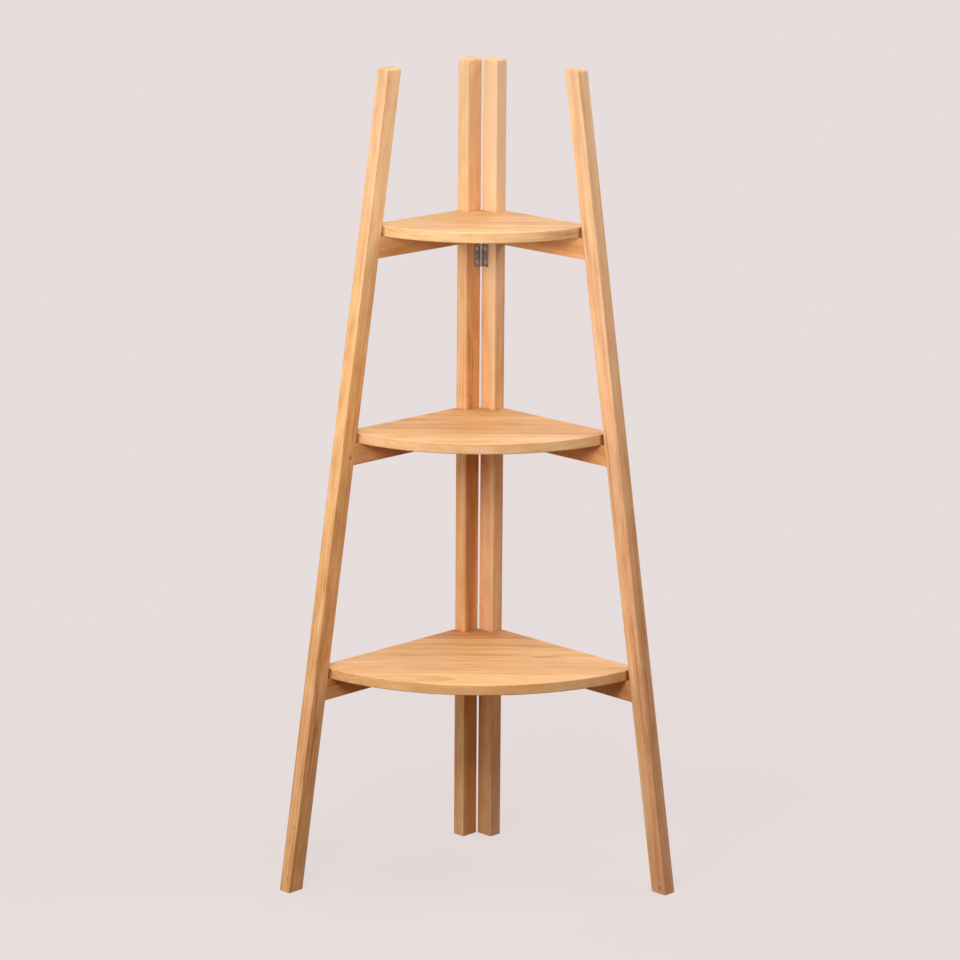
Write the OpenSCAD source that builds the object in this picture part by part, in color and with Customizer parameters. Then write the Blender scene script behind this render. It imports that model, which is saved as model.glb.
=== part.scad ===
// Folding corner shelf: two ladder frames, hinged where their posts meet, carry three loose shelves.
// It stands on Z = 0 with the corner at the back (+Y) and the curved shelf fronts towards -Y.
// A frame is drawn along +X from the corner, with its inner face on Y = 0 and its stock behind that face.

/* [Frames] */
// Height of the posts and of the legs
frame_h = 1250; // [1130:10:1400]
// Thickness of the stock that both frames are cut from
frame_t = 22; // [18:1:28]
// Width of a post
post_w = 30; // [26:1:38]
// Width of a leg, square to its length
leg_w = 28; // [24:1:34]
// Distance from the corner to a leg's outer edge at the floor
foot_reach = 408; // [380:2:440]
// Distance from the corner to a leg's outer edge at its top
top_reach = 200; // [180:2:230]
// Height of a rail
rail_h = 32; // [28:1:40]
// Slot left between the corner and the edge of each post
post_gap = 1; // [0.6:0.1:1.6]
// Radius of the eased long edges
edge_r = 1.5; // [0.8:0.1:2.5]
// Radius of the eased top ends
top_r = 5; // [1:0.1:8]
// Radius of the eased feet
foot_r = 1.5; // [0.5:0.1:3]

/* [Shelves] */
// Height of the top shelf's upper face
top_shelf_z = 1014; // [960:1:1060]
// Height of the middle shelf's upper face
middle_shelf_z = 702; // [600:1:800]
// Height of the bottom shelf's upper face
bottom_shelf_z = 342; // [280:1:420]
// Thickness of the shelf boards
shelf_t = 17; // [14:1:22]
// Clearance between a shelf and the rails under it
seat_gap = 0.1; // [0.05:0.05:0.3]
// Slot between a shelf's tip and its leg
tip_gap = 3; // [2:0.1:5]
// How far a tip stands in past the inner face of its frame
tip_lip = 1; // [0.5:0.1:4]
// Clearance of the notches round the posts
notch_gap = 1; // [0.6:0.1:2]
// Bow of the front edge, as a share of half the distance between the tips
front_bow_share = 0.36; // [0.25:0.01:0.45]
// Radius of the eased front edges
front_r = 2; // [1:0.1:4]
// Radius of the eased straight edges and tips
side_r = 1; // [0.5:0.1:2]

/* [Hinges] */
// Height of a hinge
hinge_h = 35; // [30:1:45]
// Width of a leaf, from the corner of the posts
leaf_w = 16; // [13:0.5:20]
// Thickness of a leaf
leaf_t = 1.2; // [1:0.1:1.6]
// Radius of the rounded leaf corners
leaf_r = 1.2; // [0.6:0.1:2]
// Radius of the hinge pin
pin_r = 1.25; // [1:0.05:1.6]
// Running clearance round the pin
pin_gap = 0.05; // [0.02:0.01:0.09]
// Thickness of the pin's riveted ends
pin_head_t = 0.8; // [0.4:0.1:1.5]
// Slot between neighbouring knuckles
knuckle_gap = 0.3; // [0.2:0.05:0.6]
// Clearance between the knuckles and the wood behind them
barrel_gap = 0.3; // [0.3:0.05:0.6]
// Distance between a rail's lower edge and the hinge below it
hinge_drop = 4; // [2:0.5:12]

/* [Screws] */
// Radius of a screw's shank
screw_r = 1.4; // [1:0.1:1.6]
// Radius of the countersunk head
screw_head_r = 2.4; // [2.2:0.1:2.8]
// Length of a screw
screw_l = 14; // [10:1:16]
// Length of a screw's point
screw_point_l = 3; // [2:0.5:4]
// Distance between the two screws of a leaf
screw_pitch = 20.5; // [16:0.5:24]
// Distance from the corner to the screws
screw_inset = 10; // [9:0.5:11]
// Depth of the cross in a screw's head
cross_depth = 0.5; // [0.3:0.1:0.8]
// Width of an arm of that cross
cross_w = 0.6; // [0.4:0.1:0.8]
// Clearance of the screws in their holes
screw_gap = 0.06; // [0.03:0.01:0.1]

/* [Dowels] */
// Radius of a dowel
dowel_r = 4; // [3:0.25:5]
// Length of a dowel
dowel_l = 36; // [28:1:40]
// Distance between the two dowels of a joint
dowel_pitch = 16; // [13:0.5:18]
// Glue gap round a dowel
dowel_gap = 0.08; // [0.04:0.01:0.15]
// Free depth left past each end of a dowel
dowel_end_gap = 1; // [0.5:0.1:2]
// Chamfer on the ends of a dowel
dowel_chamfer = 1; // [0.5:0.1:1.5]

/* [Hidden] */
$fn = 64;

// Boards in each shelf, from the top down
top_boards = 3;
middle_boards = 4;
bottom_boards = 5;
// Knuckles of a hinge, and the ones that each leaf carries, from the bottom up
knuckle_count = 5;
left_knuckles = [0, 2, 4];
right_knuckles = [1, 3];
// Overrun of every cut past the face that it starts from
over = 1;
// Direction of the left frame, and of the right one by mirror
frame_turn = 225;
// Part of a length along a frame that lies along X, and along Y
diagonal_share = sqrt(0.5);
// Radius of a screw's point, as a share of its shank's
screw_point_share = 0.125;

wood_light = "#dcae7c";
wood_mid = "#cd9a66";
wood_dark = "#bd8853";
dowel_wood = "#e6cfa4";
zinc = "#9a9da0";
bright_steel = "#c4c6c8";

// Places along a frame
post_face = post_gap + post_w;
lean = atan((foot_reach - top_reach) / frame_h);
leg_level_w = leg_w / cos(lean);
function leg_outer(z) = foot_reach - z * tan(lean);
function leg_inner(z) = leg_outer(z) - leg_level_w;
function rail_z(shelf_z) = shelf_z - shelf_t - seat_gap - rail_h;
function hinge_z(shelf_z) = rail_z(shelf_z) - hinge_drop - hinge_h;
rail_floors = [for (z = [top_shelf_z, middle_shelf_z, bottom_shelf_z]) rail_z(z)];
hinge_floors = [hinge_z(top_shelf_z), hinge_z(bottom_shelf_z)];

// Places on a shelf
function tip_reach(z) = leg_inner(z) - tip_gap;
function tip_half_chord(z) = diagonal_share * (tip_reach(z) - tip_lip);
function tip_depth(z) = diagonal_share * (tip_reach(z) + tip_lip);
function bow(z) = front_bow_share * tip_half_chord(z);
function front_depth(z) = tip_depth(z) + bow(z);
function front_radius(z) = (tip_half_chord(z) * tip_half_chord(z) + bow(z) * bow(z)) / (2 * bow(z));

// The corner's place, so that the origin lies under the middle of the whole
easing = (1 / diagonal_share - 1) * edge_r;
front_reach = max(front_depth(bottom_shelf_z), diagonal_share * foot_reach - easing);
back_reach = diagonal_share * (frame_t - post_gap) - easing;
corner_y = (front_reach - back_reach) / 2;
// Plan position of a point u along the left frame and v along the right one
function plan(u, v) = [diagonal_share * (v - u), corner_y - diagonal_share * (u + v)];

// Places on a hinge
knuckle_r = pin_r + pin_gap + leaf_t;
hinge_axis = knuckle_r + barrel_gap;
knuckle_h = hinge_h / knuckle_count;
screw_head_h = screw_head_r - screw_r;
function screw_z(z, side) = z + hinge_h / 2 + side * screw_pitch / 2;

function unit(v) = v / norm(v);
function half_angle(a, b, c) = acos(unit(a - b) * unit(c - b)) / 2;
function corner_cut(a, b, c, r) = r / tan(half_angle(a, b, c));
function corner_ends(a, b, c, r) =
    r == 0 ? [b] : [for (end = [a, c]) b + unit(end - b) * corner_cut(a, b, c, r)];
function corner_centre(a, b, c, r) = b + unit(unit(a - b) + unit(c - b)) * r / sin(half_angle(a, b, c));

// Outline whose corners are rounded by arcs, each with its own radius, or left sharp at zero
module eased_outline(points, radii) {
    n = len(points);
    polygon([
        for (i = [0 : n - 1])
            each corner_ends(points[(i + n - 1) % n], points[i], points[(i + 1) % n], radii[i])
    ]);
    for (i = [0 : n - 1])
        if (radii[i] > 0)
            translate(corner_centre(points[(i + n - 1) % n], points[i], points[(i + 1) % n], radii[i]))
                circle(r = radii[i]);
}

module eased_rectangle(x0, y0, x1, y1, radii)
    eased_outline([[x0, y0], [x1, y0], [x1, y1], [x0, y1]], radii);

// Turns an outline drawn in X and Z into a plate from y0 to y1
module plate_xz(y0, y1) translate([0, y1, 0]) rotate([90, 0, 0]) linear_extrude(y1 - y0) children();

// Turns an outline drawn in Y and Z into a bar from x0 to x1
module bar_yz(x0, x1) translate([x0, 0, 0]) rotate([90, 0, 90]) linear_extrude(x1 - x0) children();

module on_left() translate([0, corner_y, 0]) rotate([0, 0, frame_turn]) children();
module on_right() translate([0, corner_y, 0]) mirror([1, 0, 0]) rotate([0, 0, frame_turn]) children();

// Stock that eases the ends across the thickness
module ends_across()
    bar_yz(-over, foot_reach + over)
        eased_rectangle(-frame_t, 0, 0, frame_h, [foot_r, foot_r, top_r, top_r]);

module post_blank() intersection() {
    linear_extrude(frame_h)
        eased_rectangle(post_gap, -frame_t, post_face, 0, [edge_r, edge_r, edge_r, edge_r]);
    plate_xz(-frame_t - over, over)
        eased_rectangle(post_gap, 0, post_face, frame_h, [foot_r, foot_r, top_r, top_r]);
    ends_across();
}

module leg_blank() intersection() {
    translate([foot_reach, 0, 0]) rotate([0, -lean, 0]) translate([0, 0, -leg_w])
        linear_extrude((frame_h + leg_w * 2) / cos(lean))
            eased_rectangle(-leg_w, -frame_t, 0, 0, [edge_r, edge_r, edge_r, edge_r]);
    plate_xz(-frame_t - over, over)
        eased_outline(
            [[leg_inner(0), 0], [foot_reach, 0], [top_reach, frame_h], [leg_inner(frame_h), frame_h]],
            [foot_r, foot_r, top_r, top_r]
        );
    ends_across();
}

module rail_blank(z) intersection() {
    bar_yz(post_face, foot_reach)
        eased_rectangle(-frame_t, z, 0, z + rail_h, [edge_r, edge_r, edge_r, edge_r]);
    plate_xz(-frame_t - over, over)
        polygon([
            [post_face, z - over], [leg_inner(z - over), z - over],
            [leg_inner(z + rail_h + over), z + rail_h + over], [post_face, z + rail_h + over]
        ]);
}

// Middles of the four dowels of the rail that starts at height z
function dowel_places(z) = [
    for (side = [-1, 1])
        let (level = z + rail_h / 2 + side * dowel_pitch / 2)
            each [[post_face, level], [leg_inner(level), level]]
];

module at_dowels(z)
    for (place = dowel_places(z))
        translate([place[0], -frame_t / 2, place[1]]) rotate([0, 90, 0]) children();

module dowel_bores(z)
    at_dowels(z) cylinder(r = dowel_r + dowel_gap, h = dowel_l + 2 * dowel_end_gap, center = true);

module dowel() {
    straight = dowel_l - 2 * dowel_chamfer;
    cylinder(r = dowel_r, h = straight, center = true);
    for (side = [0, 1])
        mirror([0, 0, side]) translate([0, 0, straight / 2])
            cylinder(r1 = dowel_r, r2 = dowel_r - dowel_chamfer, h = dowel_chamfer);
}

// Places the origin at each screw of the hinge that starts at height z, with +Z into the wood
module at_screws(z)
    for (side = [-1, 1])
        translate([screw_inset, leaf_t, screw_z(z, side)]) rotate([90, 0, 0]) children();

module screw_bores(z)
    at_screws(z) cylinder(r = screw_r + screw_gap, h = screw_l + screw_gap);

module screw() difference() {
    union() {
        cylinder(r1 = screw_head_r, r2 = screw_r, h = screw_head_h);
        cylinder(r = screw_r, h = screw_l - screw_point_l);
        translate([0, 0, screw_l - screw_point_l])
            cylinder(r1 = screw_r, r2 = screw_r * screw_point_share, h = screw_point_l);
    }
    for (turn = [45, 135])
        rotate([0, 0, turn])
            translate([-screw_r, -cross_w / 2, -cross_depth]) cube([2 * screw_r, cross_w, 2 * cross_depth]);
}

module post() difference() {
    post_blank();
    for (z = rail_floors) dowel_bores(z);
    for (z = hinge_floors) screw_bores(z);
}

module leg() difference() {
    leg_blank();
    for (z = rail_floors) dowel_bores(z);
}

module rail(z) difference() {
    rail_blank(z);
    dowel_bores(z);
}

module dowels() for (z = rail_floors) at_dowels(z) dowel();

// Leaf of the hinge that starts at height z, with the knuckles of its own list
module leaf(z, own) {
    others = [for (i = [0 : knuckle_count - 1]) if (len(search(i, own)) == 0) i];
    slot_w = hinge_axis + knuckle_r + knuckle_gap;
    difference() {
        union() {
            difference() {
                plate_xz(0, leaf_t)
                    eased_rectangle(hinge_axis, z, leaf_w, z + hinge_h, [0, leaf_r, leaf_r, 0]);
                for (i = others)
                    translate([0, -over, z + i * knuckle_h - knuckle_gap / 2])
                        cube([slot_w, leaf_t + 2 * over, knuckle_h + knuckle_gap]);
            }
            for (i = own)
                translate([hinge_axis, hinge_axis, z + i * knuckle_h + knuckle_gap / 2])
                    cylinder(r = knuckle_r, h = knuckle_h - knuckle_gap);
        }
        translate([hinge_axis, hinge_axis, z - over])
            cylinder(r = pin_r + pin_gap, h = hinge_h + 2 * over);
        at_screws(z) {
            cylinder(r1 = screw_head_r + screw_gap, r2 = screw_r + screw_gap, h = screw_head_h);
            translate([0, 0, -over]) cylinder(r = screw_r + screw_gap, h = leaf_t + 2 * over);
        }
    }
}

module hinge_pin(z)
    translate([hinge_axis, hinge_axis, z]) {
        translate([0, 0, knuckle_gap / 2 - pin_head_t])
            cylinder(r = pin_r, h = hinge_h - knuckle_gap + 2 * pin_head_t);
        for (level = [knuckle_gap / 2 - pin_head_t, hinge_h - knuckle_gap / 2])
            translate([0, 0, level]) cylinder(r = (pin_r + knuckle_r) / 2, h = pin_head_t);
    }

module screws(z) at_screws(z) screw();

// Outline of the shelf whose upper face is at height z, with its notches, straight sides and tips
module shelf_outline(z) {
    tip = tip_reach(z);
    notch = post_face + notch_gap;
    beyond = tip + front_radius(z);
    side = [[notch, notch_gap], [notch, -frame_t], [tip, -frame_t], [tip, tip_lip]];
    side_radii = [0, 0, side_r, 0];
    points = [
        plan(notch_gap, notch_gap),
        for (p = side) plan(p[0], p[1]),
        plan(beyond, tip_lip),
        plan(tip_lip, beyond),
        for (i = [3 : -1 : 0]) plan(side[i][1], side[i][0])
    ];
    eased_outline(points, [0, each side_radii, 0, 0, for (i = [3 : -1 : 0]) side_radii[i]]);
}

// Stock that eases the straight side of a shelf over a frame, and its tip
module eased_side(z) intersection() {
    bar_yz(-foot_reach, foot_reach)
        eased_rectangle(-frame_t, z - shelf_t, foot_reach, z, [side_r, 0, 0, side_r]);
    plate_xz(-foot_reach, foot_reach)
        eased_rectangle(-foot_reach, z - shelf_t, tip_reach(z), z, [0, side_r, side_r, 0]);
}

// Round blank whose eased rim gives the shelf its curved front
module front_disc(z)
    translate([0, corner_y - front_depth(z) + front_radius(z), z - shelf_t])
        rotate_extrude($fn = 240)
            eased_rectangle(0, 0, front_radius(z), shelf_t, [0, front_r, front_r, 0]);

// One board of the shelf at height z, number i from the corner, of count boards of equal width
module shelf_board(z, i, count) {
    board_w = front_depth(z) / count;
    intersection() {
        translate([0, 0, z - shelf_t - over]) linear_extrude(shelf_t + 2 * over) shelf_outline(z);
        front_disc(z);
        on_left() eased_side(z);
        on_right() eased_side(z);
        translate([-foot_reach, corner_y - i * board_w, z - shelf_t - over])
            cube([2 * foot_reach, board_w, shelf_t + 2 * over]);
    }
}

module left_post() color(wood_mid) on_left() post();
module left_leg() color(wood_light) on_left() leg();
module left_top_rail() color(wood_mid) on_left() rail(rail_z(top_shelf_z));
module left_middle_rail() color(wood_mid) on_left() rail(rail_z(middle_shelf_z));
module left_bottom_rail() color(wood_mid) on_left() rail(rail_z(bottom_shelf_z));
module left_dowels() color(dowel_wood) on_left() dowels();

module right_post() color(wood_mid) on_right() post();
module right_leg() color(wood_light) on_right() leg();
module right_top_rail() color(wood_mid) on_right() rail(rail_z(top_shelf_z));
module right_middle_rail() color(wood_mid) on_right() rail(rail_z(middle_shelf_z));
module right_bottom_rail() color(wood_mid) on_right() rail(rail_z(bottom_shelf_z));
module right_dowels() color(dowel_wood) on_right() dowels();

module top_shelf_board_1() color(wood_dark) shelf_board(top_shelf_z, 1, top_boards);
module top_shelf_board_2() color(wood_light) shelf_board(top_shelf_z, 2, top_boards);
module top_shelf_board_3() color(wood_mid) shelf_board(top_shelf_z, 3, top_boards);

module middle_shelf_board_1() color(wood_mid) shelf_board(middle_shelf_z, 1, middle_boards);
module middle_shelf_board_2() color(wood_light) shelf_board(middle_shelf_z, 2, middle_boards);
module middle_shelf_board_3() color(wood_mid) shelf_board(middle_shelf_z, 3, middle_boards);
module middle_shelf_board_4() color(wood_light) shelf_board(middle_shelf_z, 4, middle_boards);

module bottom_shelf_board_1() color(wood_dark) shelf_board(bottom_shelf_z, 1, bottom_boards);
module bottom_shelf_board_2() color(wood_light) shelf_board(bottom_shelf_z, 2, bottom_boards);
module bottom_shelf_board_3() color(wood_mid) shelf_board(bottom_shelf_z, 3, bottom_boards);
module bottom_shelf_board_4() color(wood_light) shelf_board(bottom_shelf_z, 4, bottom_boards);
module bottom_shelf_board_5() color(wood_mid) shelf_board(bottom_shelf_z, 5, bottom_boards);

module top_hinge_left_leaf() color(zinc) on_left() leaf(hinge_z(top_shelf_z), left_knuckles);
module top_hinge_right_leaf() color(zinc) on_right() leaf(hinge_z(top_shelf_z), right_knuckles);
module top_hinge_pin() color(bright_steel) on_left() hinge_pin(hinge_z(top_shelf_z));
module top_hinge_left_screws() color(bright_steel) on_left() screws(hinge_z(top_shelf_z));
module top_hinge_right_screws() color(bright_steel) on_right() screws(hinge_z(top_shelf_z));

module bottom_hinge_left_leaf() color(zinc) on_left() leaf(hinge_z(bottom_shelf_z), left_knuckles);
module bottom_hinge_right_leaf() color(zinc) on_right() leaf(hinge_z(bottom_shelf_z), right_knuckles);
module bottom_hinge_pin() color(bright_steel) on_left() hinge_pin(hinge_z(bottom_shelf_z));
module bottom_hinge_left_screws() color(bright_steel) on_left() screws(hinge_z(bottom_shelf_z));
module bottom_hinge_right_screws() color(bright_steel) on_right() screws(hinge_z(bottom_shelf_z));

left_post();
left_leg();
left_top_rail();
left_middle_rail();
left_bottom_rail();
left_dowels();
right_post();
right_leg();
right_top_rail();
right_middle_rail();
right_bottom_rail();
right_dowels();
top_shelf_board_1();
top_shelf_board_2();
top_shelf_board_3();
middle_shelf_board_1();
middle_shelf_board_2();
middle_shelf_board_3();
middle_shelf_board_4();
bottom_shelf_board_1();
bottom_shelf_board_2();
bottom_shelf_board_3();
bottom_shelf_board_4();
bottom_shelf_board_5();
top_hinge_left_leaf();
top_hinge_right_leaf();
top_hinge_pin();
top_hinge_left_screws();
top_hinge_right_screws();
bottom_hinge_left_leaf();
bottom_hinge_right_leaf();
bottom_hinge_pin();
bottom_hinge_left_screws();
bottom_hinge_right_screws();
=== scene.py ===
"""Looks of a folding corner shelf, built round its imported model.

Two ladder frames of oiled hardwood stand hinged in the corner and carry three shelves with curved fronts.
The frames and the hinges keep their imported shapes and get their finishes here. The shelf boards are cut
anew with eased arrises and fine joints, and each one stands for its own packed board.
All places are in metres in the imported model's frame: +Z is up, the corner is at +Y, the fronts face -Y.
"""

from __future__ import annotations

import logging
import math
from collections.abc import Iterator
from contextlib import contextmanager
from dataclasses import dataclass, field, replace
from enum import Enum

import bpy
from mathutils import Matrix, Vector


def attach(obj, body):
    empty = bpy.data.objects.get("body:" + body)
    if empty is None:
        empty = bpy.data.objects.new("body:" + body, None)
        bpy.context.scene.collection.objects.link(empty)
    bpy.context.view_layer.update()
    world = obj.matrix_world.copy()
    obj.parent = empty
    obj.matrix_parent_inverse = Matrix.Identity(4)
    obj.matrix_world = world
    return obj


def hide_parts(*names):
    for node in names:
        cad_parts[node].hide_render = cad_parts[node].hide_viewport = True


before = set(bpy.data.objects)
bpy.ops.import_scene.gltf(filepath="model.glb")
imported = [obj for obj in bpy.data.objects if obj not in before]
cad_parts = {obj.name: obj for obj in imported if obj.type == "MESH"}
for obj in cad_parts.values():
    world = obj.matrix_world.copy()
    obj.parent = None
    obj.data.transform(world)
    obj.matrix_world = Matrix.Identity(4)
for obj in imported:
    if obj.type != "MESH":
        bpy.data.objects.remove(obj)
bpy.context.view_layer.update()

log = logging.getLogger("corner_shelf")

DIAGONAL = math.sqrt(0.5)
UPWARDS = Vector((0.0, 0.0, 1.0))
BACKWARDS = Vector((0.0, 1.0, 0.0))
SIDEWAYS = Vector((1.0, 0.0, 0.0))

Triple = tuple[float, float, float]
Colour = Triple
Inputs = dict[str | int, object] | tuple[object, ...]
Material = bpy.types.Material
Piece = bpy.types.Object
Socket = bpy.types.NodeSocket


def straighten(level: float) -> float:
    """Undoes the screen's standard curve for one level from 0 to 1."""
    return level / 12.92 if level <= 0.04045 else ((level + 0.055) / 1.055) ** 2.4


def paint(red: int, green: int, blue: int) -> Colour:
    """Turns a screen colour, from 0 to 255 each, into the light values that the shader reads."""
    return straighten(red / 255), straighten(green / 255), straighten(blue / 255)


class NamedPart(Enum):
    """A choice among parts that stands in the names of nodes and bodies."""

    @property
    def word(self) -> str:
        """Returns the choice as it stands in those names."""
        return self.name.lower()


class Side(NamedPart):
    """The two frames, by the sign of X on which they stand."""

    LEFT = -1
    RIGHT = 1

    @property
    def along(self) -> Vector:
        """Returns the level direction from the corner along this frame."""
        return Vector((self.value * DIAGONAL, -DIAGONAL, 0.0))

    @property
    def face(self) -> Vector:
        """Returns the direction in which this frame's inner face looks."""
        return Vector((-self.value * DIAGONAL, -DIAGONAL, 0.0))


class Tier(NamedPart):
    """The three tiers, by the heights of their shelf's upper face and of their rails' middle."""

    TOP = (1.014, 0.981)
    MIDDLE = (0.702, 0.669)
    BOTTOM = (0.342, 0.309)

    def __init__(self, shelf_level: float, rail_level: float) -> None:
        """Keeps the two heights of a tier."""
        self.shelf_level = shelf_level
        self.rail_level = rail_level


@dataclass(frozen=True)
class CornerPlan:
    """Sizes that the frames and the shelves share.

    Attributes:
        corner_y: Place of the corner along Y.
        height: Height of the frames.
        stock: Thickness of the frames' stock.
        post_width: Width of the posts.
        post_gap: Distance of the posts from the corner.
        leg_width: Width of the legs.
        foot_reach: Reach of the legs' outer edges at the floor.
        top_reach: The same at the top.
    """

    corner_y: float = 0.1468375
    height: float = 1.25
    stock: float = 0.022
    post_width: float = 0.030
    post_gap: float = 0.001
    leg_width: float = 0.028
    foot_reach: float = 0.408
    top_reach: float = 0.200

    @property
    def lean(self) -> float:
        """Returns the angle by which the legs lean back from upright."""
        return math.atan((self.foot_reach - self.top_reach) / self.height)

    def leg_outer(self, level: float) -> float:
        """Returns how far the outer edge of a leg lies from the corner at a level."""
        return self.foot_reach - level * math.tan(self.lean)

    def leg_inner(self, level: float) -> float:
        """Returns how far the inner edge of a leg lies from the corner at a level."""
        return self.leg_outer(level) - self.leg_width / math.cos(self.lean)

    def place(self, side: Side, reach: float, depth: float, level: float) -> Vector:
        """Finds a point by its reach along a frame, its depth in front of the inner face and its level."""
        corner = Vector((0.0, self.corner_y, level))
        return corner + side.along * reach + side.face * depth


PLAN = CornerPlan()


@dataclass(frozen=True)
class GrainLine:
    """Which way the grain of one piece runs.

    Attributes:
        along: Direction of the fibres.
        face: Direction that lies square to the fibres, out of the piece's broad face.
        centre: A point on the piece's middle line.
    """

    along: Vector
    face: Vector
    centre: Vector

    @property
    def turn(self) -> Matrix:
        """Finds the turn that lays the fibres on X and the broad face on Y.

        Returns:
            The turn.
        """
        across = self.along.cross(self.face).normalized()
        square = across.cross(self.along).normalized()
        return Matrix((self.along.normalized(), square, across))

    def local(self, point: Vector) -> Vector:
        """Returns a point as seen along the grain, measured from the piece's centre."""
        return self.turn @ (point - self.centre)


@dataclass(frozen=True)
class PlankStack:
    """How the planks of all pieces lie in the endless wood, apart from each other.

    Attributes:
        start: Where the first plank would lie.
        step: How far apart they lie along X, Y and Z.
        row: After how many planks a row starts anew along X, Y and Z.
        pith_near: Least distance of a plank from the middle of the tree.
        pith_step: How much farther away the next one lies, in rows of four.
        pith_aside: Distance between the places aside of that middle, of which there are five.
    """

    start: Triple = (0.31, 0.11, -0.37)
    step: Triple = (1.7, 0.43, 0.29)
    row: tuple[int, int, int] = (100, 7, 5)
    pith_near: float = 0.052
    pith_step: float = 0.013
    pith_aside: float = 0.021

    def place(self, cut: int) -> Vector:
        """Returns where a plank lies, by its number."""
        rows = zip(self.start, self.step, self.row)
        return Vector([step * (cut % row) + start for start, step, row in rows])

    def pith(self, cut: int) -> Vector:
        """Returns the way from the middle of the tree to the middle line of a plank's piece."""
        return Vector((0.0, self.pith_near + self.pith_step * (cut % 4), self.pith_aside * (cut * 3 % 5 - 2)))


STACK = PlankStack()


@dataclass(frozen=True)
class GrainOrShadeMark:
    """A knot, a speck or a dark streak in the wood, or a patch of painted shade.

    Attributes:
        place: Its middle, on the surface of the piece.
        length: Its length along the grain.
        width: Its width across the grain.
        strength: How dark it is, from 0 to 1.
        depth: Its size square to the piece's broad face, or None where that is its width.
    """

    place: Vector
    length: float
    width: float
    strength: float
    depth: float | None = None


@dataclass(frozen=True)
class Clouds:
    """Cloudy noise, and the part of it that shows as patches.

    Attributes:
        cells: Cells a metre along X, Y and Z: in wood along the grain, out of the face and across it.
        detail: How many finer layers it has.
        rough: How strong the finer layers are.
        low: Where in the noise a patch begins.
        high: Where in the noise it is full.
        depth: How far the noise moves what it varies.
    """

    cells: Triple
    detail: float = 2.0
    rough: float = 0.5
    low: float = 0.0
    high: float = 1.0
    depth: float = 1.0


SWAY = Clouds((2.4, 11.0, 11.0), depth=0.016)
FIBRE = Clouds((32.0, 1300.0, 1300.0), 1.0, depth=0.30)
PORE = Clouds((85.0, 2100.0, 2100.0), 1.0, low=0.62, high=0.76, depth=0.22)
RING_PATCH = Clouds((2.1, 9.0, 9.0), low=0.38, high=0.62)
BROAD_STREAK = Clouds((1.5, 46.0, 46.0), 3.0, 0.6, depth=2.0)
NARROW_STREAK = Clouds((5.0, 210.0, 210.0), 2.0, 0.55, depth=0.9)
BLOTCH = Clouds((20.0, 62.0, 62.0), depth=2.0)
CAST = Clouds((3.4, 34.0, 34.0), low=0.32, high=0.68)
VEIN = Clouds((2.6, 270.0, 270.0), 1.0, low=0.60, high=0.76)
MINERAL = Clouds((2.2, 85.0, 85.0), 1.0, low=0.58, high=0.76)
FLECK = Clouds((95.0, 520.0, 520.0), 0.0, low=0.68, high=0.80)
WEAR = Clouds((26.0, 60.0, 60.0), low=0.30, high=0.72)
TARNISH = Clouds((260.0, 260.0, 180.0), 4.0, 0.6, low=0.62, high=0.86, depth=0.30)
GRIT = Clouds((2400.0, 2400.0, 1500.0), depth=0.35)


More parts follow.
